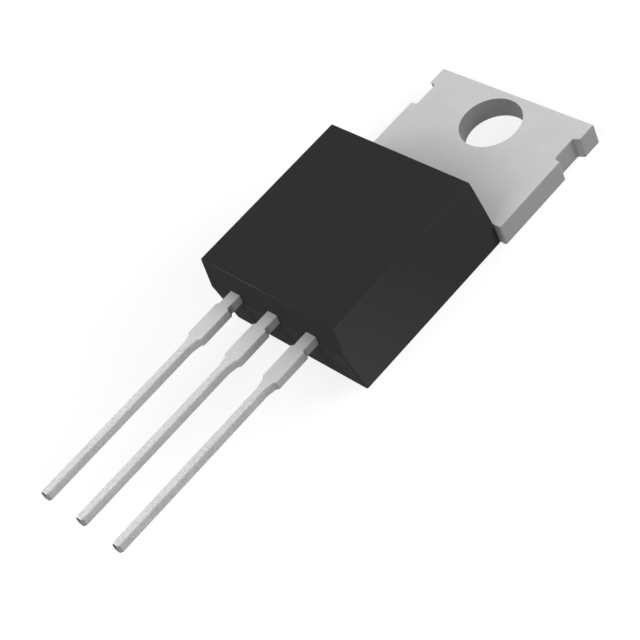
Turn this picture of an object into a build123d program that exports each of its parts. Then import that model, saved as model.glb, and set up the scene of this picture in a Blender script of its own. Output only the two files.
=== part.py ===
from build123d import *
from math import hypot, pi, radians, sin, tan
import os

# A power mosfet in a through-hole tab package, lying on the back of its tab.
# X runs across the leads, Y from the lead tips to the tab's end, Z up from the back face.
# The origin is on the axis of the mounting hole, at the back face.
# Lengths are in millimetres and angles in degrees.

# Moulded body
body_width = 8.95  # across the sides, at the parting line
body_length = 9.82  # tab end at the tab to lead end at the parting line
body_height = 4.4
hole_to_body = 5.05  # mounting hole axis to the body's tab end, beside the tab
tab_end_draft = 6.0  # above the tab
lead_end_draft = 7.0
side_draft = 1.0
body_edge_radius = 0.08

# Leads
lead_pitch = 2.54
lead_level = 2.65  # underside of the leads above the back face, and the parting line
lead_thickness = 0.48
lead_width = 0.41
lead_length = 12.5  # from the body's lead end to the tips
neck_width = 0.65
neck_length = 0.74
neck_slope = 0.08  # slope from the neck out to the shoulder
shoulder_width = 0.88
shoulder_length = 1.94
shoulder_corner = 0.13  # cut corner at the outer end of the shoulder
taper_length = 0.47
tip_chamfer = 0.07  # how much a tip is narrower on each of its four sides
tip_taper = 0.16  # length of the chamfer on a tip's two side walls
lead_edge_break = 0.03

# Mounting tab and die pad, one thick plate
tab_width = 9.59
tab_thickness = 1.18
tab_edge_radius = 0.05
hole_diameter = 3.2
hole_to_tab_end = 1.95
notch_depth = 0.35
notch_length = 1.37  # along its inner wall
notch_offset = 0.11  # middle of the notch beyond the hole axis
notch_flare = 0.12  # run-out of the notch's outer wall
notch_radius = 0.15  # inner corner on the body's side
notch_lip_radius = 0.12  # outer corner on the body's side
flare_radius = 0.08  # inner corner of the flared wall
flare_lip_radius = 0.1  # outer corner of the flared wall
ear_radius = 0.1  # tab's corners beside the body
pad_width = 7.9
pad_corner_radius = 0.4
ledge_width = 0.3  # coined step round the underside of the pad
ledge_height = 0.5

# Riser: the bent strip from the pad up to the centre lead
riser_width = 1.3
riser_run = 0.3  # level run at each end
riser_slope = 1.1  # length of the slope, seen from above
riser_radius = 0.15  # inside of each bend
riser_cover = 0.6  # moulding between the riser and the lead end

# Bond posts of the outer leads
post_width = 2.1
post_length = 1.15
post_cover = 0.4  # moulding between a post and the lead end
post_shift = 0.3  # middle of a post outboard of its lead
post_corner_radius = 0.2
anchor_diameter = 0.5  # half-round notches in a post's ends

# Chip
solder_thickness = 0.05
solder_margin = 0.15
die_width = 4.2
die_length = 4.8
die_thickness = 0.28
die_to_pad_end = 1.3

# Bond wires
gate_wire_diameter = 0.15
gate_bond_inset = 0.55  # from both edges of the die
source_wire_diameter = 0.38
source_wire_count = 2
source_wire_spacing = 0.95
source_bond_inset = 2.1  # from the die's lead end
foot_length = 0.5
foot_inset = 0.25  # from a foot's near end to the post's edge
foot_sink = 0.3  # how much of a wire's radius is pressed flat at a bond
loop_rise = 1.0  # middle of a loop above the line between its feet
loop_runs = 6  # short straight runs in a loop

# Places that follow from the sizes above
lead_top = lead_level + lead_thickness
body_tab_end = -hole_to_body
body_lead_end = body_tab_end - body_length
lead_tip = body_lead_end - lead_length
riser_end = body_lead_end + riser_cover
pad_end = riser_end + riser_slope + 2 * riser_run
post_front = body_lead_end + post_cover
post_back = post_front + post_length
die_front = pad_end + die_to_pad_end
die_middle = die_front + die_length / 2
die_bottom = tab_thickness + solder_thickness
die_top = die_bottom + die_thickness


def moulding_envelope():
    """Outer form of the moulding: a drafted side profile crossed with a drafted end profile."""
    rise = body_height - lead_level
    lead_end_slope = tan(radians(lead_end_draft))
    side_slope = tan(radians(side_draft))
    side = Polygon(
        (body_lead_end + lead_level * lead_end_slope, 0),
        (body_lead_end, lead_level),
        (body_lead_end + rise * lead_end_slope, body_height),
        (body_tab_end - (body_height - tab_thickness) * tan(radians(tab_end_draft)), body_height),
        (body_tab_end, tab_thickness),
        (body_tab_end, 0),
        align=None,
    )
    half = body_width / 2
    half_end = Polygon(
        (0, 0),
        (half - lead_level * side_slope, 0),
        (half, lead_level),
        (half - rise * side_slope, body_height),
        (0, body_height),
        align=None,
    )
    end = half_end + mirror(half_end, Plane.YZ)
    block = extrude(Plane.YZ * side, body_width, both=True)
    block &= extrude(Plane.XZ * end, hole_to_body + 2 * body_length, both=True)
    top = block.edges().group_by(Axis.Z)[-1]
    upright = block.edges().filter_by(lambda edge: abs((edge % 0.5).Z) > 0.8)
    return fillet(top + upright, body_edge_radius)


def blade(x, inner_end):
    """Straight part of a lead, from inside the moulding out to its chamfered tip."""
    shoulder_start = body_lead_end - neck_length
    shoulder_end = shoulder_start - shoulder_length
    taper_start = shoulder_end - shoulder_corner
    right = [
        (neck_width / 2, inner_end),
        (neck_width / 2, shoulder_start),
        (shoulder_width / 2, shoulder_start - neck_slope),
        (shoulder_width / 2, shoulder_end),
        (shoulder_width / 2 - shoulder_corner, taper_start),
        (lead_width / 2, taper_start - taper_length),
        (lead_width / 2, lead_tip + tip_taper),
        (lead_width / 2 - tip_chamfer, lead_tip),
    ]
    left = [(-across, along) for across, along in reversed(right)]
    outline = Polygon(*right, *left, align=None)
    strip = extrude(Pos(x, 0, lead_level) * outline, lead_thickness, dir=(0, 0, 1))
    strip = chamfer(strip.faces().sort_by(Axis.Y)[0].edges().filter_by(Axis.X), tip_chamfer)
    levels = strip.edges().group_by(Axis.Z)
    rims = (levels[0] + levels[-1]).filter_by(lambda edge: abs((edge % 0.5).Y) > 0.1)
    return chamfer(rims, lead_edge_break)


def outer_lead(side):
    """Gate or source lead: a blade that ends in a bond post with anchor notches."""
    x = side * lead_pitch
    post = RectangleRounded(post_width, post_length, post_corner_radius)
    post -= Pos(-post_width / 2, 0) * Circle(anchor_diameter / 2)
    post -= Pos(post_width / 2, 0) * Circle(anchor_diameter / 2)
    middle = (post_front + post_back) / 2
    plate = extrude(Pos(x + side * post_shift, middle, lead_level) * post, lead_thickness)
    return blade(x, middle) + plate


def round_corner(face, place, radius):
    """Rounds the corner of a flat face that lies nearest to a place."""
    return fillet(face.vertices().sort_by_distance(place)[0], radius)


def tab_outline():
    """Mounting tab seen from above, with its hole and side notches."""
    half = tab_width / 2
    length = hole_to_tab_end - body_tab_end
    plate = Pos(0, hole_to_tab_end - length / 2) * Rectangle(tab_width, length)
    plate = fillet(plate.vertices().group_by(Axis.Y)[0], ear_radius)
    low = notch_offset - notch_length / 2
    high = notch_offset + notch_length / 2
    notch = Polygon(
        (half + notch_depth, low),
        (half - notch_depth, low),
        (half - notch_depth, high),
        (half + notch_depth, high + 2 * notch_flare),
        align=None,
    )
    plate -= notch + mirror(notch, Plane.YZ)
    for side in (-1, 1):
        plate = round_corner(plate, (side * (half - notch_depth), low), notch_radius)
        plate = round_corner(plate, (side * half, low), notch_lip_radius)
        plate = round_corner(plate, (side * (half - notch_depth), high), flare_radius)
        plate = round_corner(plate, (side * half, high + notch_flare), flare_lip_radius)
    return plate - Circle(hole_diameter / 2)


def pad_outline(inset):
    """Die pad seen from above, drawn in by an inset on its three free sides."""
    width = pad_width - 2 * inset
    length = body_tab_end - pad_end - inset
    pad = Pos(0, body_tab_end - length / 2) * Rectangle(width, length)
    return fillet(pad.vertices().group_by(Axis.Y)[0], pad_corner_radius)


def drain_frame():
    """Tab, die pad, riser and centre lead: one stamped and bent piece of two-gauge strip."""
    plate = extrude(tab_outline() + pad_outline(0), tab_thickness)
    plate -= extrude(pad_outline(0) - pad_outline(ledge_width), ledge_height)
    rim = plate.faces().sort_by(Axis.Z)[-1].outer_wire().edges()
    plate = fillet(rim.filter_by(lambda edge: edge.center().Y > body_tab_end + ear_radius), tab_edge_radius)
    low = tab_thickness - lead_thickness
    underside = FilletPolyline(
        (pad_end + lead_thickness, low),
        (pad_end - riser_run, low),
        (riser_end + riser_run, lead_level),
        (riser_end, lead_level),
        radius=[riser_radius + lead_thickness, riser_radius],
    )
    strip = make_face(offset(underside, lead_thickness, side=Side.RIGHT, closed=True))
    riser = extrude(Plane.YZ * strip, riser_width / 2, both=True)
    return plate + riser + blade(0, riser_end)


def layer(width, length, bottom, thickness):
    """A flat rectangular layer of the chip, centred on the die's place."""
    return extrude(Pos(0, die_middle, bottom) * Rectangle(width, length), thickness)


def bond_wire(start, finish, diameter):
    """A looped wire with a level foot at each end, standing on the die and on a post.

    The loop climbs evenly from foot to foot, with half a sine wave added to its height.
    """
    run = hypot(finish[0] - start[0], finish[1] - start[1])
    heading = Vector(finish[0] - start[0], finish[1] - start[1]) / run
    upright = Plane(origin=(*start, 0), x_dir=heading, z_dir=heading.cross(Vector(0, 0, 1)))
    lift = diameter / 2 * (1 - foot_sink)
    low = die_top + lift
    high = lead_top + lift
    points = [(0, low)]
    for step in range(loop_runs + 1):
        share = step / loop_runs
        along = foot_length + share * (run - 2 * foot_length)
        points.append((along, low + share * (high - low) + loop_rise * sin(pi * share)))
    points.append((run, high))
    path = upright * Polyline(*points)
    section = Plane(origin=path @ 0, z_dir=path % 0) * Circle(diameter / 2)
    return sweep(section, path, transition=Transition.RIGHT)


def bond_wires(side, die_x, inset, diameter, count, spacing, die, lead):
    """Parallel wires from the die to one outer lead's post, pressed flat where they land."""
    wires = []
    for number in range(count):
        shift = (number - (count - 1) / 2) * spacing
        start = (die_x + shift, die_front + inset)
        finish = (side * (lead_pitch + post_shift) + shift, post_back - foot_inset - foot_length)
        wires.append(bond_wire(start, finish, diameter) - die - lead)
    return wires


drain = drain_frame()
gate = outer_lead(-1)
source = outer_lead(1)
solder = layer(die_width + 2 * solder_margin, die_length + 2 * solder_margin, tab_thickness, solder_thickness)
die = layer(die_width, die_length, die_bottom, die_thickness)
gate_pad = gate_bond_inset - die_width / 2
gate_wires = bond_wires(-1, gate_pad, gate_bond_inset, gate_wire_diameter, 1, 0, die, gate)
source_wires = bond_wires(
    1, die_width / 4, source_bond_inset, source_wire_diameter, source_wire_count, source_wire_spacing, die, source
)

parts = {
    "drain_frame": drain,
    "gate_lead": gate,
    "source_lead": source,
    "die_solder": solder,
    "silicon_die": die,
    "gate_bond_wire": gate_wires[0],
}
for number, wire in enumerate(source_wires, start=1):
    parts[f"source_bond_wire_{number}"] = wire

# The moulding flows round everything else, so it fills what the other pieces leave of its envelope.
body = moulding_envelope()
for piece in parts.values():
    body -= piece
parts["moulded_body"] = body

os.makedirs("parts", exist_ok=True)
for name, shape in parts.items():
    export_step(shape, f"parts/{name}.step")
    print(name, "solids", len(shape.solids()), "volume", round(shape.volume, 3))
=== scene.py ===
# %% [markdown]
# # A power mosfet in a tab package
#
# A power mosfet is an electronic switch. A chip lies on a thick copper plate, black epoxy is moulded round
# the chip, and three plated leads stick out at one end. At the other end the plate comes out of the epoxy
# as a tab with a screw hole, which carries the heat away.
#
# The solid shapes come ready made, as a fixed frame. What is left to do here is the look: a camera, a pale
# floor, soft light, and a finish for each piece, built from nodes.
#
# Blender works in metres, and the whole part is only 29 mm long. One millimetre is 0.001, so a named `MM`
# keeps the numbers easy to read.

# %% Load the solid shapes
import math

import bpy
import numpy as np
from mathutils import Matrix, Vector


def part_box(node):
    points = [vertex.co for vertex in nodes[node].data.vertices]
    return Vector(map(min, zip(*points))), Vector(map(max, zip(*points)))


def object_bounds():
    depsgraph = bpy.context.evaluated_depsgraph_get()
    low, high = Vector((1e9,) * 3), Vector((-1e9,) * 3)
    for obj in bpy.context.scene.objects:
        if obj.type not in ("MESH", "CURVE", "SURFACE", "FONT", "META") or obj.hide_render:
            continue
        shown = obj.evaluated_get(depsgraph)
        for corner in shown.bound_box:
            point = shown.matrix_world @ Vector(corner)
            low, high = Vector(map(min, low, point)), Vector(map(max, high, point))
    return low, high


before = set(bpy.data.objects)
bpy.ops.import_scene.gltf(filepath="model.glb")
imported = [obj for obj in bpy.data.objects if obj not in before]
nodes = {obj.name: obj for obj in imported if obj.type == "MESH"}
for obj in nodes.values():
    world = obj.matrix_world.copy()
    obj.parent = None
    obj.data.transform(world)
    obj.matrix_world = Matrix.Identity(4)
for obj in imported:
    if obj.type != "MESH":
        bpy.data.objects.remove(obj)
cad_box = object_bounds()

MM = 0.001


def box_sides(box):
    """The three sides of a box in millimetres: its high corner less its low corner."""
    return [round((box[1][axis] - box[0][axis]) / MM, 2) for axis in range(3)]


print("pieces:", ", ".join(sorted(nodes)))
print("size in mm:", box_sides(cad_box))

# %% [markdown]
# ## The camera
#
# A camera in Blender looks along its own -Z axis, with +X to the right and +Y up. It could be aimed with a
# Track To constraint, but a constraint can't roll the picture. Here its three axes are worked out from
# three angles and put into a matrix: the turn round the part, the height above the floor, and the roll,
# which lays the part across the picture from corner to corner.

# %% Place the camera
turn, height, roll = math.radians(64.95), math.radians(45.45), math.radians(-28.64)
camera_place = Vector((51.66, -37.05, 58.41)) * MM

backward = Vector((math.sin(turn) * math.cos(height), -math.cos(turn) * math.cos(height), math.sin(height)))
level_right = Vector((0, 0, 1)).cross(backward).normalized()
level_up = backward.cross(level_right)
right = math.cos(roll) * level_right + math.sin(roll) * level_up
up = backward.cross(right)

camera_data = bpy.data.cameras.new("camera")
camera_data.sensor_width = 36.0
camera_data.lens = 99.48
camera_data.clip_start, camera_data.clip_end = 1 * MM, 10.0
camera = bpy.data.objects.new("camera", camera_data)
axes = Matrix((right, up, backward)).transposed()
camera.matrix_world = Matrix.Translation(camera_place) @ axes.to_4x4()
bpy.context.scene.collection.objects.link(camera)
bpy.context.scene.camera = camera
print("camera is", round(camera_place.length / MM, 1), "mm from the screw hole")

# %% [markdown]
# ## Surfaces from arrays
#
# A surface can be thought of as a function of two numbers, u and v, worked out on a grid. numpy does the
# whole grid at once, and `from_pydata` makes the mesh from the list of corners and the list of four-sided
# faces. That is quicker than adding faces one by one, and the shape is a formula that can be read and
# changed.

# %% Helper: a mesh from a grid
def closed_surface(name, points):
    """A mesh object from a grid of points, an array of rows by columns by 3.

    Each face joins point (row, column) to the next row and the next column. After the last column comes the
    first again, as on a tube.
    """
    rows, columns = points.shape[:2]
    number = np.arange(rows * columns).reshape(rows, columns)
    number = np.hstack([number, number[:, :1]])
    faces = np.stack([number[:-1, :-1], number[1:, :-1], number[1:, 1:], number[:-1, 1:]], axis=-1)
    mesh = bpy.data.meshes.new(name)
    mesh.from_pydata(points.reshape(-1, 3).tolist(), [], faces.reshape(-1, 4).tolist())
    made = bpy.data.objects.new(name, mesh)
    bpy.context.scene.collection.objects.link(made)
    return made


print("surface helper ready")

# %% [markdown]
# ## A plain pale floor
#
# The part lies on the back of its tab. The floor could be one big square, but a disc has no corners that
# could show in a low view. It is a function of radius and angle, with a small hole in the middle where the
# screw hole lies, so that all its faces have four real corners. It lies a hair below the part, because two
# surfaces at exactly the same height flicker.

# %% Make the floor
def disc(name, inner, outer, level, rings=6, spokes=96):
    """A flat ring: x is r cos a and y is r sin a, with r from inner to outer and a once round."""
    radii = np.geomspace(inner, outer, rings)
    r, a = np.meshgrid(radii, np.linspace(0, 2 * np.pi, spokes, endpoint=False), indexing="ij")
    points = np.stack([r * np.cos(a), r * np.sin(a), np.full_like(r, level)], axis=-1)
    return closed_surface(name, points)


floor = disc("floor", inner=0.01 * MM, outer=1.5, level=-0.02 * MM)
upward = [face.normal.z > 0.99 for face in floor.data.polygons]
print("floor of", len(upward), "faces, all upward:", all(upward))

# %% [markdown]
# ## Nodes without the clutter
#
# A material is a small network: boxes that make or change values, and links between their sockets. It could
# be drawn by hand in the Shader Editor. In a script, a few short helpers keep it readable: `add` places a
# box and fills in its sockets, and `start_material` opens a new network.

# %% Helpers: placing nodes
def add(tree, kind, inputs=None, **settings):
    """Adds a node of that kind, sets its properties, then its inputs: values are set, sockets are linked."""
    node = tree.nodes.new(kind)
    for name, value in settings.items():
        setattr(node, name, value)
    for name, value in (inputs or {}).items():
        if isinstance(value, bpy.types.NodeSocket):
            tree.links.new(value, node.inputs[name])
        else:
            node.inputs[name].default_value = value
    return node


def start_material(name):
    """A new material with an empty network and its output node."""
    material = bpy.data.materials.new(name)
    material.use_nodes = True
    material.node_tree.nodes.clear()
    return material, material.node_tree, material.node_tree.nodes.new("ShaderNodeOutputMaterial")


print("placing helpers ready")

# %% [markdown]
# Most boxes in a network only calculate. A Math node does one step, so a formula is a chain of them, and a
# chain is hard to read. These helpers give the steps that come back again and again a plain name. Most
# masks are ramps, so below, each one's limits are kept as a named pair: where it is 0, then where it is 1.

# %% Helpers: calculating
def maths(tree, operation, *values, clamp=False):
    """A Math node on one, two or three values, and its result. With clamp it is kept from 0 to 1."""
    given = dict(enumerate(values))
    return add(tree, "ShaderNodeMath", given, operation=operation, use_clamp=clamp).outputs[0]


def product(tree, first, *others, clamp=False):
    """Two or more values multiplied."""
    for value in others:
        first = maths(tree, "MULTIPLY", first, value, clamp=clamp)
    return first


def weighted(tree, value, weight, base, clamp=False):
    """The base plus the weight times the value."""
    return maths(tree, "MULTIPLY_ADD", value, weight, base, clamp=clamp)


def less(tree, first, second, clamp=False):
    """The first value less the second."""
    return maths(tree, "SUBTRACT", first, second, clamp=clamp)


def ramp(tree, value, start, end):
    """0 where the value is at start or before it, 1 at end or past it, and even in between."""
    return add(tree, "ShaderNodeMapRange", {"Value": value, "From Min": start, "From Max": end}).outputs[0]


print("calculating helpers ready")

# %% [markdown]
# Colours and places are sets of numbers too. A place comes from the piece's own Object coordinates, so that
# a finish stays on the piece when it is moved.

# %% Helpers: greys and places
def grey(level, tint=(1.0, 1.0, 1.0)):
    """A grey of that brightness with a slight tint, as a colour with alpha."""
    return (level * tint[0], level * tint[1], level * tint[2], 1.0)


def scaled(tree, vector, factors):
    """A vector with each of its three numbers multiplied."""
    return add(tree, "ShaderNodeVectorMath", {0: vector, 1: factors}, operation="MULTIPLY").outputs[0]


def length(tree, vector):
    """The length of a vector. For a place it is the distance from the middle of the screw hole."""
    return add(tree, "ShaderNodeVectorMath", {0: vector}, operation="LENGTH").outputs["Value"]


def millimetres(tree):
    """The place on the piece in millimetres, from its own Object coordinates in metres."""
    return scaled(tree, add(tree, "ShaderNodeTexCoord").outputs["Object"], (1 / MM, 1 / MM, 1 / MM))


print("a middle grey is", grey(0.5))

# %% [markdown]
# ## Finish of the floor
#
# Small parts are often shown on a white sweep that is lit by itself, so that the background goes white and
# the part isn't flooded with light. A plain white floor under strong lamps would throw that light back at
# the part. So this floor is a plain matt surface that takes the part's soft shadow, with light of its own
# that only sight rays notice. That light grows with the distance from the part, where the lamps don't
# reach, so that the far end of the floor melts into the white behind it. From below the floor is clear, so
# the back of the part can be seen.

# %% Floor material
floor_grey, floor_glow = 0.30, 0.78
far_out_mm = (60.0, 130.0)


def reached_by_sight(tree):
    """1 for rays that show a surface to the eye: straight from the camera, in a mirror, or through glass."""
    path = add(tree, "ShaderNodeLightPath").outputs
    seen = maths(tree, "MAXIMUM", path["Is Camera Ray"], path["Is Glossy Ray"])
    return maths(tree, "MAXIMUM", seen, path["Is Transmission Ray"])


def sweep_material():
    """Matt grey plus its own light on the upper side, clear on the lower side. Far out, its light is full."""
    material, tree, output = start_material("white_sweep")
    matt = add(tree, "ShaderNodeBsdfDiffuse", {"Color": grey(floor_grey)})
    far_out = ramp(tree, length(tree, millimetres(tree)), *far_out_mm)
    glow = weighted(tree, far_out, 1.0 - floor_glow, floor_glow)
    strength = product(tree, reached_by_sight(tree), glow)
    own_light = add(tree, "ShaderNodeEmission", {"Color": grey(1.0), "Strength": strength})
    lit = add(tree, "ShaderNodeAddShader", {0: matt.outputs[0], 1: own_light.outputs[0]})
    clear = add(tree, "ShaderNodeBsdfTransparent")
    behind = add(tree, "ShaderNodeNewGeometry").outputs["Backfacing"]
    shown = add(tree, "ShaderNodeMixShader", {0: behind, 1: lit.outputs[0], 2: clear.outputs[0]})
    tree.links.new(shown.outputs[0], output.inputs["Surface"])
    return material


floor.data.materials.append(sweep_material())
print("floor finish:", floor.data.materials[0].name)

# %% [markdown]
# ## Soft studio light
#
# Matt metal shows its form only through shading, so the light must differ from side to side. The world
# could give all of the light, but then nothing would be shaded. Here it is only a weak even grey that
# reaches into every corner, and where it is seen, it shows as white.

# %% World
world_strength = 0.1

world = bpy.data.worlds.new("studio")
world.use_nodes = True
sky = world.node_tree
sky.nodes.clear()
for_light = add(sky, "ShaderNodeBackground", {"Color": grey(1.0), "Strength": world_strength}).outputs[0]
for_sight = add(sky, "ShaderNodeBackground", {"Color": grey(1.0), "Strength": 1.0}).outputs[0]
both = add(sky, "ShaderNodeMixShader", {0: reached_by_sight(sky), 1: for_light, 2: for_sight})
sky.links.new(both.outputs[0], sky.nodes.new("ShaderNodeOutputWorld").inputs["Surface"])
bpy.context.scene.world = world
bpy.context.scene.view_settings.view_transform = "Standard"
print("view transform:", bpy.context.scene.view_settings.view_transform)

# %% [markdown]
# The shading comes from five square lamps on a dome round the part. The strongest two are the one in front,
# which lifts the faces that look at the lead tips, and a low one at the right and behind. A low lamp grazes
# the tab and the leads, so that they get a little darker close to the taller body. The left one is low as
# well: it reaches the left walls and hardly touches the top faces. Lamps this large for their distance give
# soft shadows.

# %% Lamps
part_middle = (cad_box[0] + cad_box[1]) / 2
lamp_side, lamp_distance = 140 * MM, 230 * MM


def softbox(name, azimuth, elevation, radiance):
    """A square lamp that looks at the part's middle. Its watts are radiance times pi times its area.

    It stands on a dome round the part: azimuth 0 is in front of the lead tips, 90 is at the right, 180 is
    behind the tab, and elevation is the angle above the floor.
    """
    around, above = math.radians(azimuth), math.radians(elevation)
    across, along = math.cos(above) * math.sin(around), -math.cos(above) * math.cos(around)
    towards_lamp = Vector((across, along, math.sin(above)))
    lamp = bpy.data.lights.new(name, "AREA")
    lamp.size = lamp_side
    lamp.energy = radiance * math.pi * lamp_side * lamp_side
    made = bpy.data.objects.new(name, lamp)
    made.location = part_middle + lamp_distance * towards_lamp
    made.rotation_euler = towards_lamp.to_track_quat("Z", "Y").to_euler()
    made.visible_camera = False
    bpy.context.scene.collection.objects.link(made)
    return lamp


lamps = [
    softbox("front_softbox", azimuth=0, elevation=45, radiance=4.15),
    softbox("right_softbox", azimuth=90, elevation=25, radiance=2.7),
    softbox("right_back_softbox", azimuth=135, elevation=18, radiance=6.5),
    softbox("back_softbox", azimuth=180, elevation=18, radiance=2.3),
    softbox("left_softbox", azimuth=270, elevation=16, radiance=1.8),
]
print("watts:", [round(lamp.energy, 3) for lamp in lamps])

# %% [markdown]
# ## Node groups
#
# An effect that several materials share is built once, as a node group, and each material places it with
# its own values. `start_group` opens a group with named inputs and outputs, `give_out` joins what it made
# to the outputs, and `use_group` places it in a material.

# %% Helpers: node groups
def start_group(name, inputs, outputs):
    """A new node group. inputs gives each input its default, and outputs lists what comes out by name."""
    tree = bpy.data.node_groups.new(name, "ShaderNodeTree")
    for label, value in inputs.items():
        kind = "NodeSocketVector" if isinstance(value, tuple) else "NodeSocketFloat"
        tree.interface.new_socket(label, in_out="INPUT", socket_type=kind).default_value = value
    for label in outputs:
        kind = "NodeSocketVector" if label.endswith("Normal") else "NodeSocketFloat"
        tree.interface.new_socket(label, in_out="OUTPUT", socket_type=kind)
    return tree, tree.nodes.new("NodeGroupInput").outputs, tree.nodes.new("NodeGroupOutput").inputs


def give_out(tree, result, made):
    """Joins what a group made to its outputs, name by name."""
    for label, value in made.items():
        tree.links.new(value, result[label])


def use_group(tree, group, **inputs):
    """Places a group in a network and returns what comes out. Underscores in keywords stand for spaces."""
    named = {name.replace("_", " "): value for name, value in inputs.items()}
    return add(tree, "ShaderNodeGroup", named, node_tree=group).outputs


print("group helpers ready")

# %% [markdown]
# ## Shared effect: fine grain
#
# Neither moulded epoxy nor tin plating is perfectly smooth. Both carry a grain far finer than a millimetre,
# and slow patches several times larger. The group gives both as values round zero, so that a material can
# add them to a colour, a roughness or a height with whatever weight suits it. Noise textures are enough for
# this: they have no edges or seams, and they follow the piece's own coordinates. A noise hardly leaves the
# middle half of its range, so it is stretched before it is limited.

# %% Node group: grain and patches
def make_grain_group():
    """Grain is a fine noise and Patches a slow one: four times the noise less two, kept from -1 to 1.

    Sizes are in millimetres. A Stretch over 1 makes the grain shorter along an axis, and under 1 longer.
    """
    tree, given, result = start_group(
        "grain_and_patches",
        {"Grain Size": 0.1, "Patch Size": 2.0, "Stretch": (1.0, 1.0, 1.0)},
        ["Grain", "Patches"],
    )
    place = millimetres(tree)
    grain_place = scaled(tree, place, given["Stretch"])
    made = {}
    for label, vector, size, detail in (
        ("Grain", grain_place, given["Grain Size"], 3.0),
        ("Patches", place, given["Patch Size"], 2.0),
    ):
        scale = maths(tree, "DIVIDE", 1.0, size)
        settings = {"Vector": vector, "Scale": scale, "Detail": detail, "Roughness": 0.6}
        noise = add(tree, "ShaderNodeTexNoise", settings).outputs["Fac"]
        centred = weighted(tree, noise, 4.0, -2.0)
        made[label] = maths(tree, "MINIMUM", maths(tree, "MAXIMUM", centred, -1.0), 1.0)
    give_out(tree, result, made)
    return tree


grain_group = make_grain_group()
print("grain group has", len(grain_group.nodes), "nodes")

# %% [markdown]
# ## Shared effect: edges
#
# A real edge is never perfectly sharp: it catches light, and handling rubs it first. More geometry could
# round every edge, but the Bevel node does it in the shading alone. It gives the normal that an edge would
# have if it were rounded, so the difference between that normal and the true one is large only near an
# edge.

# %% Node group: worn edges
def make_edge_group():
    """Edge is 0 on a flat and up to 1 on an edge: Strength times one minus the cosine between two normals.

    The two are the true normal and the rounded one, which comes out as well.
    """
    tree, given, result = start_group(
        "worn_edges", {"Radius": 0.04 * MM, "Strength": 6.0}, ["Edge", "Rounded Normal"]
    )
    rounded = add(tree, "ShaderNodeBevel", {"Radius": given["Radius"]}, samples=6).outputs[0]
    flat = add(tree, "ShaderNodeNewGeometry").outputs["True Normal"]
    both = {0: rounded, 1: flat}
    cosine = add(tree, "ShaderNodeVectorMath", both, operation="DOT_PRODUCT").outputs["Value"]
    edge = product(tree, less(tree, 1.0, cosine), given["Strength"], clamp=True)
    give_out(tree, result, {"Edge": edge, "Rounded Normal": rounded})
    return tree


edge_group = make_edge_group()
sockets = edge_group.interface.items_tree
print("edge group gives", [socket.name for socket in sockets if socket.in_out == "OUTPUT"])

# %% [markdown]
# ## Masks
#
# A mask is a value from 0 to 1 that says where a finish goes. Masks can be painted, but on a piece with
# flat faces and known sizes, they can be worked out from where a point lies and which way its face points.
# The mask is then the share in a Mix node, between the colour without the finish and the colour with it.

# %% Helpers: masks and mixing
def blend(tree, share, first, second):
    """Mixes two colours: first at a share of 0, second at 1. On the Mix node they are sockets 6 and 7."""
    return add(tree, "ShaderNodeMix", {0: share, 6: first, 7: second}, data_type="RGBA").outputs[2]


def along_axes(tree, vector):
    """The three numbers of a vector, to be picked as X, Y and Z."""
    return add(tree, "ShaderNodeSeparateXYZ", {0: vector}).outputs


def facing(tree):
    """Which way the face points, in the piece's own axes: 1 along an axis, -1 against it."""
    normal = add(tree, "ShaderNodeNewGeometry").outputs["True Normal"]
    to_own_axes = {"vector_type": "NORMAL", "convert_from": "WORLD", "convert_to": "OBJECT"}
    return along_axes(tree, add(tree, "ShaderNodeVectorTransform", {0: normal}, **to_own_axes).outputs[0])


def unsigned(tree, value):
    """The value without its sign."""
    return maths(tree, "ABSOLUTE", value)


def in_millimetres(box):
    """The low and the high corner of a box: each of their places in metres divided by `MM`."""
    return [np.array(corner) / MM for corner in box]


body_low, body_high = in_millimetres(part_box("moulded_body"))
lead_low = in_millimetres(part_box("gate_lead"))[0]
print("the body reaches from Y =", round(body_low[1], 2), "to", round(body_high[1], 2), "mm")

# %% [markdown]
# ## Black moulding compound
#
# The body is epoxy filled with ground silica and a little carbon black. The mould is spark eroded, so the
# surface comes out evenly matt with a very fine grain. One flat black would look drawn, so two close tones
# are mixed by the grain and the patches. The sides are painted a little darker than the top, as painted
# shade.

# %% Skin of the body
skin_dark, skin_light, side_shade_skin = grey(0.0248), grey(0.0302), grey(0.0225)
side_shade_share = 0.6
patch_share, grain_share = 0.25, 0.15


def moulded_skin(tree, grain, points):
    """Half way between two tones, plus a share of patches and of grain, and painted shade that darkens the
    sides.
    """
    tone = weighted(tree, grain["Patches"], patch_share, 0.5)
    tone = weighted(tree, grain["Grain"], grain_share, tone, clamp=True)
    skin = blend(tree, tone, skin_dark, skin_light)
    # Painted shade: the sides are darkened in the colour by the share of the normal's X.
    return blend(tree, product(tree, unsigned(tree, points["X"]), side_shade_share), skin, side_shade_skin)


print("body tones:", skin_dark[0], "to", skin_light[0])

# %% [markdown]
# Near the lead end the body is painted lighter: painted light, evenly on that end above the parting line,
# and on the sides a painted highlight that is strongest low at the corners. A mask for this could be painted
# by hand, but it follows from the place on the body and from the way a face points, so it is a formula.

# %% Painted light on the body
parting = lead_low[2]
above_parting_mm = (parting - 0.1, parting + 0.1)
highlight_grey = grey(0.042)
highlight_reach = 7.5
highlight_lost_per_mm_up = 0.09
end_light, side_highlight = 0.30, 0.95


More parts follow.
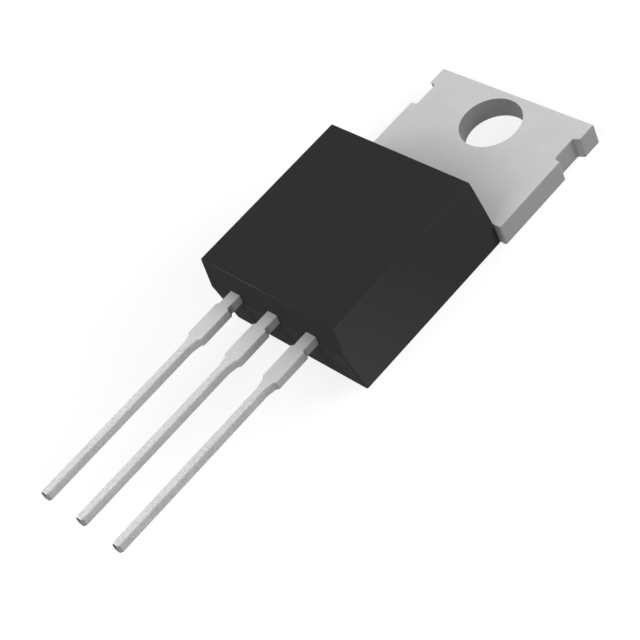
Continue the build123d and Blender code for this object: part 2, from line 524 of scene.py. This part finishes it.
def with_painted_light(tree, skin, place, points):
    """The skin lightened by painted light, evenly on the lead end above the parting line.

    On the sides it is a painted highlight: one minus the distance from the lead end over the reach, less a
    little for each millimetre up.
    """
    from_end = maths(tree, "DIVIDE", less(tree, place["Y"], body_low[1]), highlight_reach)
    from_corner = weighted(tree, place["Z"], highlight_lost_per_mm_up, from_end)
    on_sides = product(tree, less(tree, 1.0, from_corner, clamp=True), unsigned(tree, points["X"]))
    to_leads = product(tree, points["Y"], -1.0, clamp=True)
    on_lead_end = product(tree, to_leads, ramp(tree, place["Z"], *above_parting_mm))
    # Painted light: the lead end and the low corners of the sides are lightened to stand in for light there.
    painted_light = weighted(tree, on_lead_end, end_light, product(tree, on_sides, side_highlight), clamp=True)
    return blend(tree, painted_light, skin, highlight_grey)


print("the parting line is", round(parting, 2), "mm above the back")

# %% [markdown]
# The edges of the lead end are painted a lighter grey, as painted highlight, and its top edge gets a
# brighter painted highlight line that fades towards one side. The edges of the solid are really rounded, so a
# face that belongs to one is known by its normal: on a flat face one of the normal's three numbers is nearly
# 1, and on a rounded edge none is.

# %% Edges of the lead end
edge_highlight_grey, top_edge_highlight_grey = grey(0.05), grey(0.095)
edge_highlight_share = 0.35
on_an_edge = (0.985, 0.85)
to_the_leads = (-0.1, -0.4)
upwards = (0.3, 0.6)
top_highlight_mm = (2.2, -1.0)
patch_break, whole_top_highlight = 0.5, 0.7


def with_painted_edge_highlights(tree, skin, place, points, patches):
    """The skin with painted highlights on the lead end's edges, brightest on its top edge, broken up by the
    patches.

    The longest of the normal's three numbers tells an edge, and its Y and Z tell which edge it is.
    """
    longest = maths(tree, "MAXIMUM", unsigned(tree, points["X"]), unsigned(tree, points["Y"]))
    longest = maths(tree, "MAXIMUM", longest, unsigned(tree, points["Z"]))
    end_edge = product(tree, ramp(tree, longest, *on_an_edge), ramp(tree, points["Y"], *to_the_leads))
    edge_lit = blend(tree, product(tree, end_edge, edge_highlight_share), skin, edge_highlight_grey)
    top_edge = product(tree, end_edge, ramp(tree, points["Z"], *upwards))
    broken = weighted(tree, patches, patch_break, whole_top_highlight, clamp=True)
    # Painted highlight: a lighter line along the top edge of the lead end.
    top_highlight = product(tree, top_edge, broken, ramp(tree, place["X"], *top_highlight_mm))
    return blend(tree, top_highlight, edge_lit, top_edge_highlight_grey)


print("the scuff runs out at X =", top_highlight_mm[0], "mm")

# %% [markdown]
# Every finish ends in the same two boxes. A Bump node turns a height into a leaning normal, which is
# enough for a relief of a few thousandths of a millimetre: real geometry that fine would need millions of
# faces. The Principled shader then takes colour, metal, roughness and normal together.

# %% Helpers: the end of a material
def relief(tree, height, depth, **more):
    """The normal of a surface that rises by depth times height, in millimetres."""
    return add(tree, "ShaderNodeBump", {"Height": height, "Distance": depth * MM, **more}).outputs[0]


def principled(tree, output, inputs):
    """Puts a Principled shader with those inputs on the material's surface."""
    shader = add(tree, "ShaderNodeBsdfPrincipled", inputs)
    tree.links.new(shader.outputs[0], output.inputs["Surface"])


def dress(names, material):
    """Gives every named piece one material, in place of the plain one it came with."""
    for name in names:
        for slot in nodes[name].material_slots:
            slot.material = material
    print(material.name, "on", ", ".join(names))


print("pieces to dress:", len(nodes))

# %% [markdown]
# Now the body's material is put together. Where the two halves of the mould met, at the underside of the
# leads, they leave a hair-thin raised line, which joins the grain in the relief. A dark plastic still
# mirrors the bright floor at a shallow angle. The compound is full of filler and scatters nearly all of it,
# so its roughness is high and its specular level low.

# %% Epoxy material
parting_line_mm = (0.03, 0.0)
parting_line_rise = 1.5


def epoxy_material():
    """Black epoxy: moulded skin with painted shade, painted light and painted edge highlights, with a relief
    of the grain plus the parting line.
    """
    material, tree, output = start_material("black_epoxy")
    grain = use_group(tree, grain_group, Grain_Size=0.09, Patch_Size=1.6)
    rounded = use_group(tree, edge_group, Radius=0.07 * MM)["Rounded Normal"]
    place = along_axes(tree, millimetres(tree))
    points = facing(tree)

    skin = with_painted_light(tree, moulded_skin(tree, grain, points), place, points)
    colour = with_painted_edge_highlights(tree, skin, place, points, grain["Patches"])
    from_parting = unsigned(tree, less(tree, place["Z"], parting))
    on_line = ramp(tree, from_parting, *parting_line_mm)
    height = weighted(tree, on_line, parting_line_rise, grain["Grain"])
    inputs = {
        "Base Color": colour,
        "Roughness": weighted(tree, grain["Patches"], 0.03, 0.85),
        "IOR": 1.5,
        "Specular IOR Level": 0.08,
        "Normal": relief(tree, height, depth=0.0025, Normal=rounded),
    }
    principled(tree, output, inputs)
    return material


dress(["moulded_body"], epoxy_material())

# %% [markdown]
# ## Shared effect: stamped strip
#
# The metal pieces are stamped from rolled strip, and each kind of face keeps the marks of how it was made.
# Rolled faces have fine lines along the strip, and the side walls left by the punch have short lines from
# top to bottom. The tips are cut last, after plating, so their ends and bevels are bare metal, made darker
# still by painted shade, and the flat just above them gets a painted highlight. The masks could be painted by
# hand, but which kind a face is follows from the way it points, so the group works it out from the normal.

# %% Node group: marks of rolling and stamping
rolled_stretch, punched_stretch = (18.0, 0.7, 18.0), (9.0, 9.0, 0.8)
steep, nearly_level = (0.985, 0.8), (0.8, 0.9)
to_the_tip = (-0.2, -0.78)
rim_highlight_mm = (0.02, 0.08)


def make_strip_group():
    """Masks and lines of stamped strip that lies flat, with its length along Y.

    The normal's Z tells a wall from a rolled face, and its Y tells the cut end. Lines are a noise from -1 to
    1, drawn out along Y on rolled faces and along Z on walls.
    """
    tree, given, result = start_group(
        "stamped_strip", {"Tips Begin": -27.0}, ["Wall", "Cut Tip", "Tip Rim", "Lines"]
    )
    place = millimetres(tree)
    points = facing(tree)
    level = unsigned(tree, points["Z"])
    wall = ramp(tree, level, *steep)

    past_tip = less(tree, given["Tips Begin"], along_axes(tree, place)["Y"])
    cut = product(tree, ramp(tree, points["Y"], *to_the_tip), maths(tree, "GREATER_THAN", past_tip, 0.0))
    rim = product(tree, ramp(tree, past_tip, *rim_highlight_mm), ramp(tree, level, *nearly_level))

    stretched = {0: wall, 4: scaled(tree, place, rolled_stretch), 5: scaled(tree, place, punched_stretch)}
    line_place = add(tree, "ShaderNodeMix", stretched, data_type="VECTOR").outputs[1]
    streaks = {"Vector": line_place, "Scale": 1.0, "Detail": 2.0, "Roughness": 0.6}
    lines = weighted(tree, add(tree, "ShaderNodeTexNoise", streaks).outputs["Fac"], 2.0, -1.0)
    give_out(tree, result, {"Wall": wall, "Cut Tip": cut, "Tip Rim": rim, "Lines": lines})
    return tree


strip_group = make_strip_group()
print("strip group has", len(strip_group.nodes), "nodes")

# %% [markdown]
# ## Shared effect: painted shade near the body
#
# The metal is darkened where it meets the epoxy, as painted shade for the light that the taller body keeps
# off. A texture can't know where the body is, so the shade is worked out from how far a point lies from the
# body's end. On the broad tab it spreads in a half circle from the middle of that end, with a narrow band all
# along it.

# %% Painted shade on the tab
tab_spread, tab_band = 1.72, 0.94


def fade(tree, distance, reach):
    """1 at a distance of 0, down to 0 at the reach and past it: one minus distance over reach."""
    return less(tree, 1.0, maths(tree, "DIVIDE", distance, reach), clamp=True)


def shade_on_tab(tree, place, from_body, given):
    """A half circle and a band along the body's end, on rolled faces only.

    The half circle fades with the root of x squared plus the square of the distance from the body.
    """
    squares = weighted(tree, place["X"], place["X"], product(tree, from_body, from_body))
    spread = fade(tree, maths(tree, "SQRT", squares), given["Tab Reach"])
    band = fade(tree, from_body, given["Edge Reach"])
    # Painted shade: the tab is darkened near the body to stand in for the shade that the body casts.
    painted_shade = weighted(tree, spread, tab_spread, product(tree, band, tab_band))
    return product(tree, painted_shade, less(tree, 1.0, given["Wall"]))


print("haze on the tab: spread", tab_spread, "and band", tab_band)

# %% [markdown]
# On the leads the painted shade is short, with a darker spot of painted shade in the corner between neck and
# shoulder. A thinner painted shade runs on further, most of all towards +X.

# %% Painted shade on the leads
corner_shade_begins_mm, corner_shade_ends_mm = (0.45, 0.6), (0.9, 0.75)
corner_shade_weight = 2.6
thin_shade_side_mm = (-2.5, 2.5)
thin_shade_on_faces, thin_shade_more_on_walls = 0.8, 0.6
open_wall_shade = 0.3


def shade_on_leads(tree, place, from_body, given):
    """Painted shade at the neck, a darker spot on the corner's walls, and a thin shade that grows with the
    square of a ramp in X.

    On walls towards +X, a fixed share of shade takes the place of the shade at the neck.
    """
    begins, ends = ramp(tree, from_body, *corner_shade_begins_mm), ramp(tree, from_body, *corner_shade_ends_mm)
    corner_shade = product(tree, begins, ends, given["Wall"])
    neck = weighted(tree, corner_shade, corner_shade_weight, fade(tree, from_body, given["Lead Reach"]))
    side = maths(tree, "POWER", ramp(tree, place["X"], *thin_shade_side_mm), 2.0)
    open_wall = product(tree, side, given["Wall"])
    thickness = weighted(tree, given["Wall"], thin_shade_more_on_walls, thin_shade_on_faces)
    thin_shade = product(tree, fade(tree, from_body, given["Thin Shade Reach"]), thickness)
    # Painted shade on the leads: darker near the body, in the neck's corner and towards +X.
    painted_shade = weighted(tree, thin_shade, side, product(tree, neck, less(tree, 1.0, open_wall)))
    return weighted(tree, open_wall, open_wall_shade, painted_shade)


print("the film grows from X =", thin_shade_side_mm[0], "to", thin_shade_side_mm[1], "mm")

# %% [markdown]
# The group puts both together. It also gives out two masks that the metal needs: the leads, and their long
# thin ends. The back of the plate gets no painted shade.

# %% Node group: painted shade
body_middle = (body_low[1] + body_high[1]) / 2
body_half = (body_high[1] - body_low[1]) / 2
leads_above = lead_low[2] - 0.5
leg_mm, off_the_back_mm = (2.4, 3.4), (0.02, 0.1)


def make_shade_group():
    """Painted shade fades with the distance from the body's ends, which is |y - middle| less half the body.
    """
    tree, given, result = start_group(
        "painted_shade_near_body",
        {"Wall": 0.0, "Tab Reach": 4.6, "Edge Reach": 1.6, "Lead Reach": 1.3, "Thin Shade Reach": 8.0},
        ["Lead", "Leg", "Painted Shade"],
    )
    place = along_axes(tree, millimetres(tree))
    from_body = less(tree, unsigned(tree, less(tree, place["Y"], body_middle)), body_half)
    in_front = maths(tree, "LESS_THAN", place["Y"], body_middle)
    lead = product(tree, in_front, maths(tree, "GREATER_THAN", place["Z"], leads_above))
    leg = product(tree, lead, ramp(tree, from_body, *leg_mm))

    on_leads = product(tree, shade_on_leads(tree, place, from_body, given), lead)
    painted_shade = weighted(tree, shade_on_tab(tree, place, from_body, given), less(tree, 1.0, lead), on_leads)
    painted_shade = product(tree, painted_shade, ramp(tree, place["Z"], *off_the_back_mm))
    give_out(tree, result, {"Lead": lead, "Leg": leg, "Painted Shade": painted_shade})
    return tree


shade_group = make_shade_group()
print("body ends at", [round(body_middle + side * body_half, 2) for side in (-1, 1)], "mm along Y")

# %% [markdown]
# ## Tin-plated copper
#
# The frame and the leads are copper, plated with matt tin. The leads are plated a second time after
# moulding, so they come out brighter than the tab. On both, the walls left by the punch are darker than the
# rolled faces: partly duller sheared metal and partly painted shade, most of all on the tab. That makes four
# greys, picked by the masks of the two groups above. Dark marks in the lines and patches, and edges made a
# little brighter by rubbing and by painted highlight, keep them from looking painted.

# %% Tones of the tin
# The wall greys are partly painted shade: they darken the punched walls for the light they miss.
tab_tone, tab_wall_tone_and_shade = 0.61, 0.228
lead_tone, lead_wall_tone_and_shade = 0.69, 0.44
mark_grey, rubbed_and_highlight_grey = grey(0.15), grey(0.75)
mark_depth, more_on_lead_walls = 0.07, 0.13
patch_marks, line_marks = 0.5, 0.6
rubbed_and_highlight_share = 0.05


def four_tones(tree, wall, lead):
    """The grey of a rolled face or a punched wall, on the tab or on a lead."""
    faces = blend(tree, lead, grey(tab_tone), grey(lead_tone))
    walls = blend(tree, lead, grey(tab_wall_tone_and_shade), grey(lead_wall_tone_and_shade))
    return blend(tree, wall, faces, walls)


def with_marks(tree, tone, strip, lead, patches, edge):
    """The tone darkened by lines and patches, deeper on the leads' walls, and brightened at the edges by
    rubbing and painted highlight.
    """
    cloud = weighted(tree, patches, patch_marks, 0.5)
    marks = weighted(tree, strip["Lines"], line_marks, cloud, clamp=True)
    depth = weighted(tree, product(tree, strip["Wall"], lead), more_on_lead_walls, mark_depth)
    marked = blend(tree, product(tree, marks, depth), tone, mark_grey)
    # Partly rubbing and partly painted highlight: the edges are brightened in the colour.
    return blend(tree, product(tree, edge, rubbed_and_highlight_share), marked, rubbed_and_highlight_grey)


print("tab and its walls:", tab_tone, tab_wall_tone_and_shade)
print("leads and their walls:", lead_tone, lead_wall_tone_and_shade)

# %% [markdown]
# Some walls get painted light and shade. Walls that look at the leads are painted brighter, as painted light,
# and in the screw hole the half that looks at the tab's end is painted darker, as painted shade, most of all
# near the top. Both follow from the normal. The hole is found by the distance from its axis, which is the Z
# axis of the part, and its radius is measured: no corner of the frame's mesh lies nearer to that axis than
# the hole's wall.

# %% Painted light and shade on the walls
plate = nodes["drain_frame"].data
corners = np.empty((len(plate.vertices), 3), dtype=np.float32)
plate.vertices.foreach_get("co", corners.ravel())
hole_radius = round(float(np.hypot(corners[:, 0], corners[:, 1]).min()) / MM, 2)
hole_reach = hole_radius + 0.05
painted_light_wall_grey = grey(1.5 * tab_wall_tone_and_shade)
shaded_low_grey, shaded_high_grey = grey(0.84 * tab_wall_tone_and_shade), grey(0.62 * tab_wall_tone_and_shade)
lit_side, shaded_side = (-0.85, -0.93), (-0.7, 0.5)
shade_height_mm = (0.1, 1.1)


def with_wall_light_and_shade(tree, tone, wall):
    """The tone with painted light on walls outside the hole and painted shade on half of the wall inside it.

    Inside means that the root of x squared plus y squared is under the hole's reach.
    """
    place = millimetres(tree)
    to_tab_end = facing(tree)["Y"]
    from_axis = length(tree, scaled(tree, place, (1.0, 1.0, 0.0)))
    in_hole = product(tree, maths(tree, "LESS_THAN", from_axis, hole_reach), wall)
    # Painted light on walls that face the leads, and below, painted shade on half of the hole.
    to_leads = product(tree, ramp(tree, to_tab_end, *lit_side), wall)
    lit_walls = blend(tree, less(tree, to_leads, in_hole, clamp=True), tone, painted_light_wall_grey)
    shaded_half = product(tree, in_hole, ramp(tree, to_tab_end, *shaded_side))
    up_the_wall = ramp(tree, along_axes(tree, place)["Z"], *shade_height_mm)
    return blend(tree, shaded_half, lit_walls, blend(tree, up_the_wall, shaded_low_grey, shaded_high_grey))


print("screw hole:", 2 * hole_radius, "mm across")

# %% [markdown]
# Last come the tips, cut after plating: bare metal and painted shade on the cut, and a painted highlight
# just above it. Both are broken up by the tin's crystals, as a cutter tears some of them and spares others.

# %% Cut tips
tips_begin = lead_low[1] + 0.2
bare_and_shaded_metal, rim_highlight_grey = grey(0.05), grey(0.9)
torn_share, torn_by_crystals = 0.98, 0.3
highlight_share, highlight_by_crystals = 0.5, 0.5


def with_cut_tips(tree, tone, strip, crystals):
    """The tone with bare metal and painted shade on the cut and a painted highlight on the rim, both shared
    out by the crystals.
    """
    torn = weighted(tree, crystals, torn_by_crystals, torn_share)
    rim_highlight = weighted(tree, crystals, highlight_by_crystals, highlight_share)
    # The cut gets bare metal darkened by painted shade, and the rim a painted highlight.
    cut = blend(tree, product(tree, strip["Cut Tip"], torn, clamp=True), tone, bare_and_shaded_metal)
    return blend(tree, product(tree, strip["Tip Rim"], rim_highlight, clamp=True), cut, rim_highlight_grey)


print("tips are cut beyond Y =", round(tips_begin, 2), "mm")

# %% [markdown]
# Matt tin is a metal, but its crystals scatter light almost like paint, so the shader stands between the
# two: a little metallic and rather rough. The colour is the tone from the cells above, speckled by the
# crystals on the leads' long ends and darkened by the painted shade near the body.

# %% Tin plate material
speckle_weight, shade_weight = 0.20, -0.16
line_height, grain_height = 0.6, 0.4


def tin_material(name):
    """Matt tin. Its tone is multiplied by one, plus a share of the crystals, less a share of the painted
    shade.
    """
    material, tree, output = start_material(name)
    grain = use_group(tree, grain_group, Grain_Size=0.05, Patch_Size=1.4)
    crystals = use_group(tree, grain_group, Grain_Size=0.1, Patch_Size=1.0)["Grain"]
    edges = use_group(tree, edge_group, Radius=0.05 * MM, Strength=3.0)
    strip = use_group(tree, strip_group, Tips_Begin=tips_begin)
    painted_shade = use_group(tree, shade_group, Wall=strip["Wall"])

    tone = four_tones(tree, strip["Wall"], painted_shade["Lead"])
    tone = with_wall_light_and_shade(tree, tone, strip["Wall"])
    tone = with_marks(tree, tone, strip, painted_shade["Lead"], grain["Patches"], edges["Edge"])
    tone = with_cut_tips(tree, tone, strip, crystals)
    speckle = product(tree, crystals, painted_shade["Leg"], speckle_weight)
    # Painted shade near the body lowers the tone here.
    light_left = weighted(tree, painted_shade["Painted Shade"], shade_weight, maths(tree, "ADD", 1.0, speckle))

    roughness = weighted(tree, strip["Wall"], 0.06, 0.52)
    height = weighted(tree, strip["Lines"], line_height, product(tree, grain["Grain"], grain_height))
    inputs = {
        "Base Color": scaled(tree, tone, light_left),
        "Metallic": 0.3,
        "Roughness": weighted(tree, grain["Patches"], 0.04, roughness),
        "Normal": relief(tree, height, depth=0.001, Normal=edges["Rounded Normal"]),
    }
    principled(tree, output, inputs)
    return material


dress(["drain_frame"], tin_material("tin_on_frame"))
dress(["gate_lead", "source_lead"], tin_material("tin_on_leads"))

# %% [markdown]
# ## Solder under the chip
#
# The chip is soldered down with a soft, high-melting solder. It freezes in a dull grey skin with slow
# ripples. It lies inside the epoxy, where only a cut through the part would show it, but every piece gets
# its own finish, because the part may be used with its body hidden.

# %% Solder material
solder_dark, solder_light = grey(0.36), grey(0.50, tint=(1.0, 1.0, 1.02))
solder_spread, solder_grain_height = 0.3, 0.3


def two_tones(tree, noise, spread, dark, light):
    """A colour half way between two tones, plus the spread times the noise towards the light one."""
    return blend(tree, weighted(tree, noise, spread, 0.5, clamp=True), dark, light)


def solder_material():
    """Soft solder: a grey metal with slow ripples, which are the patches plus a share of the grain."""
    material, tree, output = start_material("soft_solder")
    grain = use_group(tree, grain_group, Grain_Size=0.08, Patch_Size=0.7)
    ripples = weighted(tree, grain["Grain"], solder_grain_height, grain["Patches"])
    inputs = {
        "Base Color": two_tones(tree, grain["Patches"], solder_spread, solder_dark, solder_light),
        "Metallic": 1.0,
        "Roughness": weighted(tree, grain["Grain"], 0.08, 0.45),
        "Normal": relief(tree, ripples, depth=0.01),
    }
    principled(tree, output, inputs)
    return material


dress(["die_solder"], solder_material())

# %% [markdown]
# ## The chip
#
# The chip is a slab of silicon. Its top is covered with aluminium, which takes the thick source wires,
# except for a dark border and for a small pad in one corner, the gate, that stands alone in a dark ring.
# The pads could be separate flat meshes, but they are thinner than a hair, so three rectangles worked out
# from the chip's own box do better.

# %% Pads of the chip
chip_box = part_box("silicon_die")
chip_low, chip_high = in_millimetres(chip_box)
chip_middle, chip_half = (chip_low + chip_high) / 2, (chip_high - chip_low) / 2
border = 0.12
gate_inset = 0.55
gate_place = (chip_low[0] + gate_inset, chip_low[1] + gate_inset)
ring_half, gate_half = 0.40, 0.30
pad_blur = 0.01
facing_up = (0.5, 0.9)


def rectangle(tree, place, centre, half_across, half_along):
    """1 inside a rectangle seen from above and 0 outside, in millimetres, with a soft rim."""
    off_x = unsigned(tree, less(tree, place["X"], centre[0]))
    off_y = unsigned(tree, less(tree, place["Y"], centre[1]))
    within_x = ramp(tree, off_x, half_across + pad_blur, half_across - pad_blur)
    within_y = ramp(tree, off_y, half_along + pad_blur, half_along - pad_blur)
    return product(tree, within_x, within_y)


def metal_pads(tree):
    """The large pad less the ring, plus the small pad, on faces that point up."""
    place = along_axes(tree, millimetres(tree))
    large = rectangle(tree, place, chip_middle, chip_half[0] - border, chip_half[1] - border)
    ring = rectangle(tree, place, gate_place, ring_half, ring_half)
    small = rectangle(tree, place, gate_place, gate_half, gate_half)
    pads = maths(tree, "ADD", product(tree, large, less(tree, 1.0, ring)), small)
    return product(tree, pads, ramp(tree, facing(tree)["Z"], *facing_up), clamp=True)


print("chip:", box_sides(chip_box), "mm")

# %% [markdown]
# The bare silicon of the sides and the border is a dark, bluish mirror with fine saw lines, which are the
# grain pressed flat along Z. The aluminium on top is pale and a little rougher. Both are one material, and
# the pads decide which of the two a point gets.

# %% Chip material
saw_lines = (1.0, 1.0, 12.0)
bluish = (0.9, 0.95, 1.2)
silicon_dark, silicon_light = grey(0.10, tint=bluish), grey(0.16, tint=bluish)
aluminium_dark, aluminium_light = grey(0.74), grey(0.82, tint=(1.0, 1.0, 1.01))
chip_spread = 0.4


def chip_material():
    """Silicon, with aluminium where the pads are."""
    material, tree, output = start_material("silicon_chip")
    grain = use_group(tree, grain_group, Grain_Size=0.03, Patch_Size=0.8, Stretch=saw_lines)["Grain"]
    metal = metal_pads(tree)
    silicon = two_tones(tree, grain, chip_spread, silicon_dark, silicon_light)
    aluminium = two_tones(tree, grain, chip_spread, aluminium_dark, aluminium_light)
    inputs = {
        "Base Color": blend(tree, metal, silicon, aluminium),
        "Metallic": metal,
        "Roughness": weighted(tree, metal, 0.12, 0.28),
        "Normal": relief(tree, grain, depth=0.001),
    }
    principled(tree, output, inputs)
    return material


dress(["silicon_die"], chip_material())

# %% [markdown]
# ## Bond wires
#
# Aluminium wires join the chip to the outer leads: one thin wire for the gate and two thick ones for the
# source. Drawing the wire through a die leaves fine lines along it, so the grain is stretched along Y, the
# way that the wires mostly run.

# %% Wire material
drawn_lines = (1.0, 0.06, 1.0)
wire_dark, wire_light = grey(0.72), grey(0.84, tint=(1.0, 1.0, 1.01))
wire_spread = 0.4


def wire_material():
    """Drawn aluminium: a bright metal with lines along Y."""
    material, tree, output = start_material("aluminium_wire")
    grain = use_group(tree, grain_group, Grain_Size=0.02, Patch_Size=0.5, Stretch=drawn_lines)
    inputs = {
        "Base Color": two_tones(tree, grain["Grain"], wire_spread, wire_dark, wire_light),
        "Metallic": 1.0,
        "Roughness": weighted(tree, grain["Patches"], 0.06, 0.32),
        "Normal": relief(tree, grain["Grain"], depth=0.001),
    }
    principled(tree, output, inputs)
    return material


dress(["gate_bond_wire", "source_bond_wire_1", "source_bond_wire_2"], wire_material())
